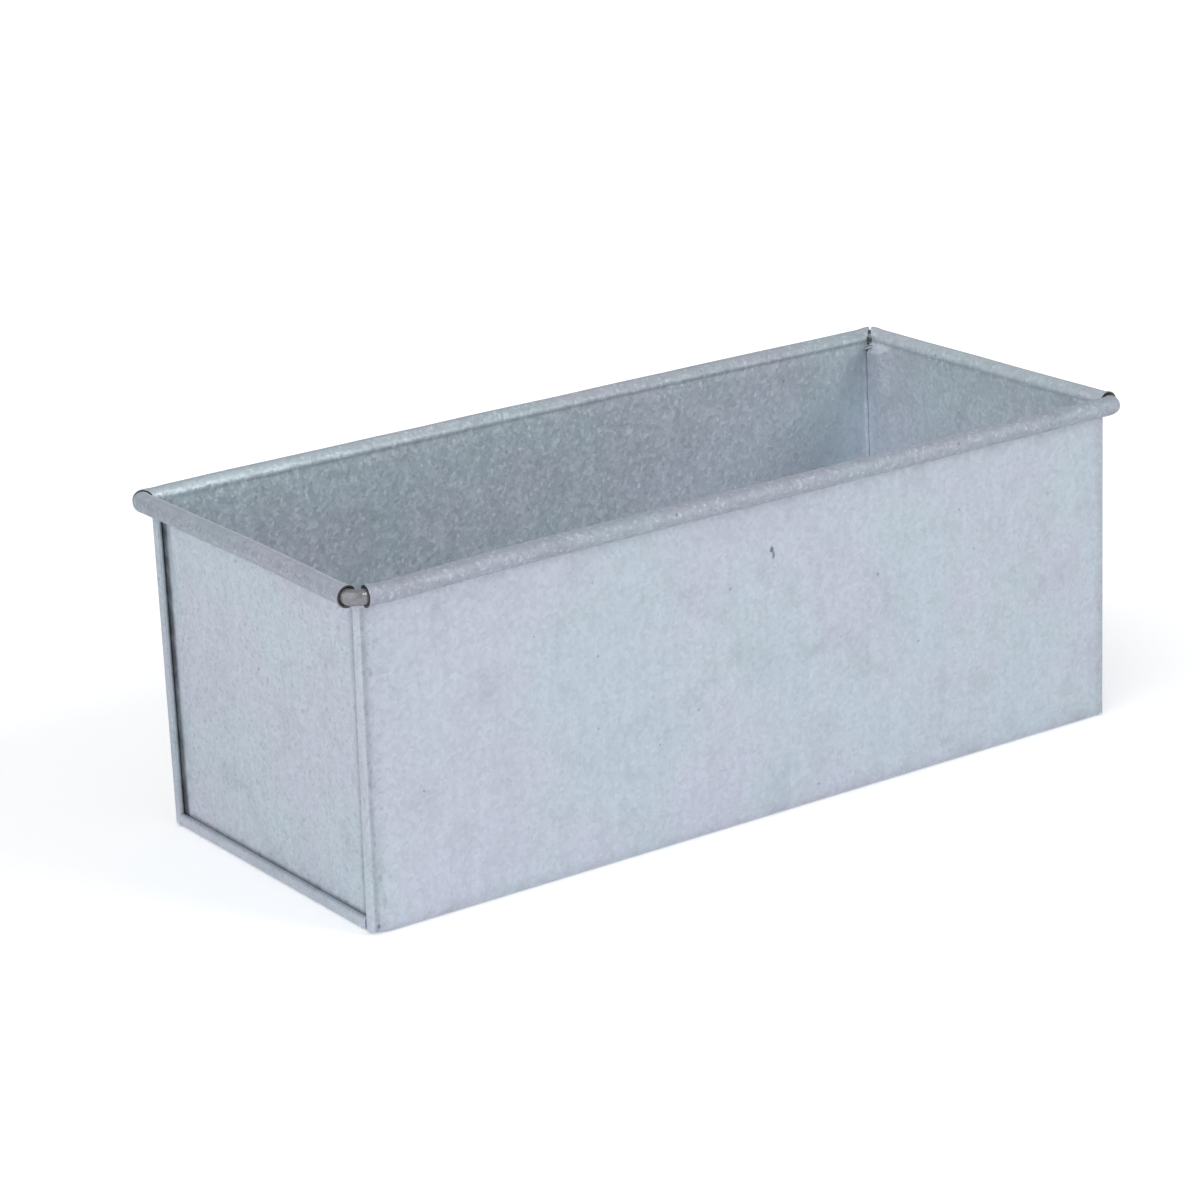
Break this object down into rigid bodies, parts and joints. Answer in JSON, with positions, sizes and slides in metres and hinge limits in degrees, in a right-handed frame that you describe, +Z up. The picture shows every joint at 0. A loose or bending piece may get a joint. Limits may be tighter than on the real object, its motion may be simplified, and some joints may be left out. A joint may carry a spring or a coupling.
{
  "type": "loaf pan",
  "caption": "Straight-sided open loaf pan folded from galvanised steel sheet, with folded end seams and a wired rim.",
  "frame": {"origin": "middle of the underside of the floor", "axes": "+X along the pan's length, +Y across it, +Z up through the open top"},
  "size_m": [0.2682, 0.1202, 0.1],
  "materials": {
    "galvanised_sheet": "dull zinc with fine spangle",
    "galvanised_wire": "dull zinc"
  },
  "bodies": {
    "root": {"wrapper_sheet": "galvanised_sheet", "end_panel_left": "galvanised_sheet", "end_panel_right": "galvanised_sheet", "rim_wire": "galvanised_wire"}
  },
  "joints": []
}
